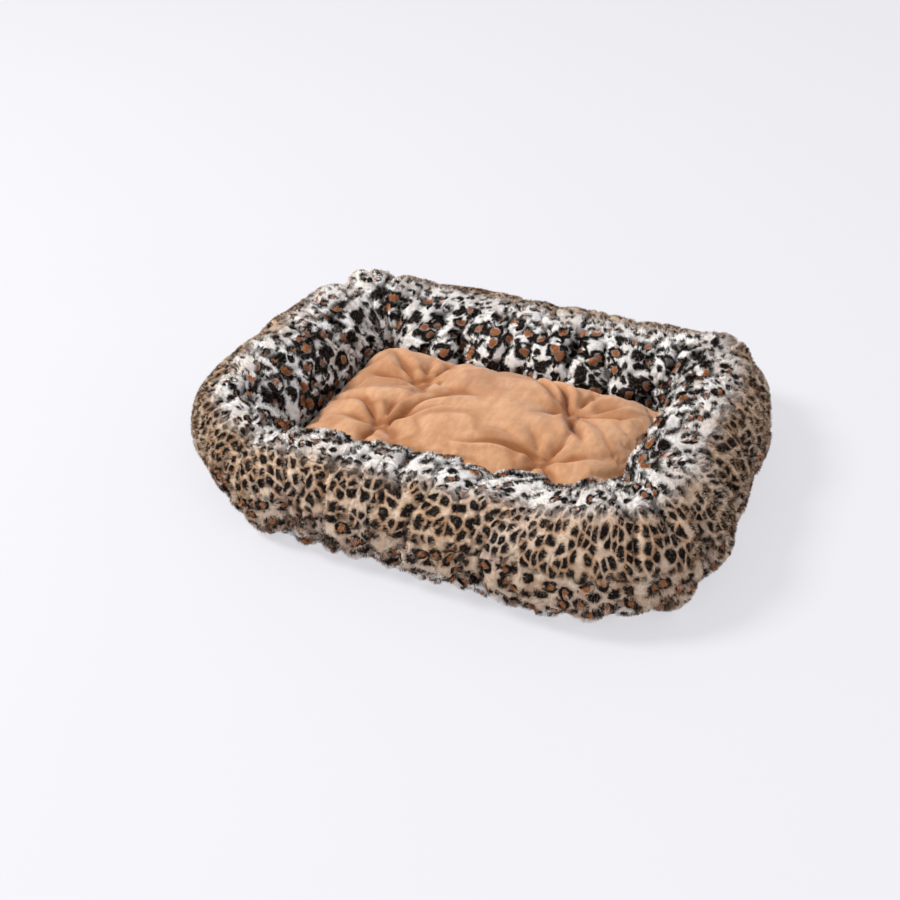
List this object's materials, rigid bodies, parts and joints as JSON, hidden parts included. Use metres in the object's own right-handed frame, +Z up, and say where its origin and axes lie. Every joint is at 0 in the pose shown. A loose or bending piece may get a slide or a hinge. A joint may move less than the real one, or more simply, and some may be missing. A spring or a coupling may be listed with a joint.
{
  "type": "pet bed",
  "caption": "Rectangular bolster pet bed: gathered spotted plush ring on a padded base, with a loose tufted cushion in the well.",
  "frame": {"origin": "on the floor, under the middle of the bed", "axes": "+X along the long sides, to the right seen from the front; +Y to the back; +Z up"},
  "size_m": [0.76, 0.66, 0.135],
  "materials": {
    "leopard_plush": "short pile plush, printed with spots",
    "fibre_fill": "loose polyester fibre",
    "base_cloth": "plain weave",
    "tan_cloth": "brushed, fine nap",
    "elastic": "braided",
    "tuft_thread": "twisted thread"
  },
  "bodies": {
    "bed": {"base_cover": "base_cloth", "base_pad": "fibre_fill", "floor_liner": "base_cloth", "hem_elastic": "elastic", "well_elastic": "elastic", "bolster_cover_front": "leopard_plush", "bolster_cover_right": "leopard_plush", "bolster_cover_back": "leopard_plush", "bolster_cover_left": "leopard_plush", "bolster_fill_front": "fibre_fill", "bolster_fill_right": "fibre_fill", "bolster_fill_back": "fibre_fill", "bolster_fill_left": "fibre_fill"},
    "cushion": {"cushion_top_cover": "tan_cloth", "cushion_bottom_cover": "tan_cloth", "cushion_fill": "fibre_fill", "tuft_thread_front_left": "tuft_thread", "tuft_thread_front_right": "tuft_thread", "tuft_thread_back_left": "tuft_thread", "tuft_thread_back_right": "tuft_thread"}
  },
  "joints": [
    {"name": "cushion_lift", "type": "slide", "parent": "bed", "child": "cushion", "axis": [0, 0, 1], "range_m": [0, 0.18]}
  ]
}
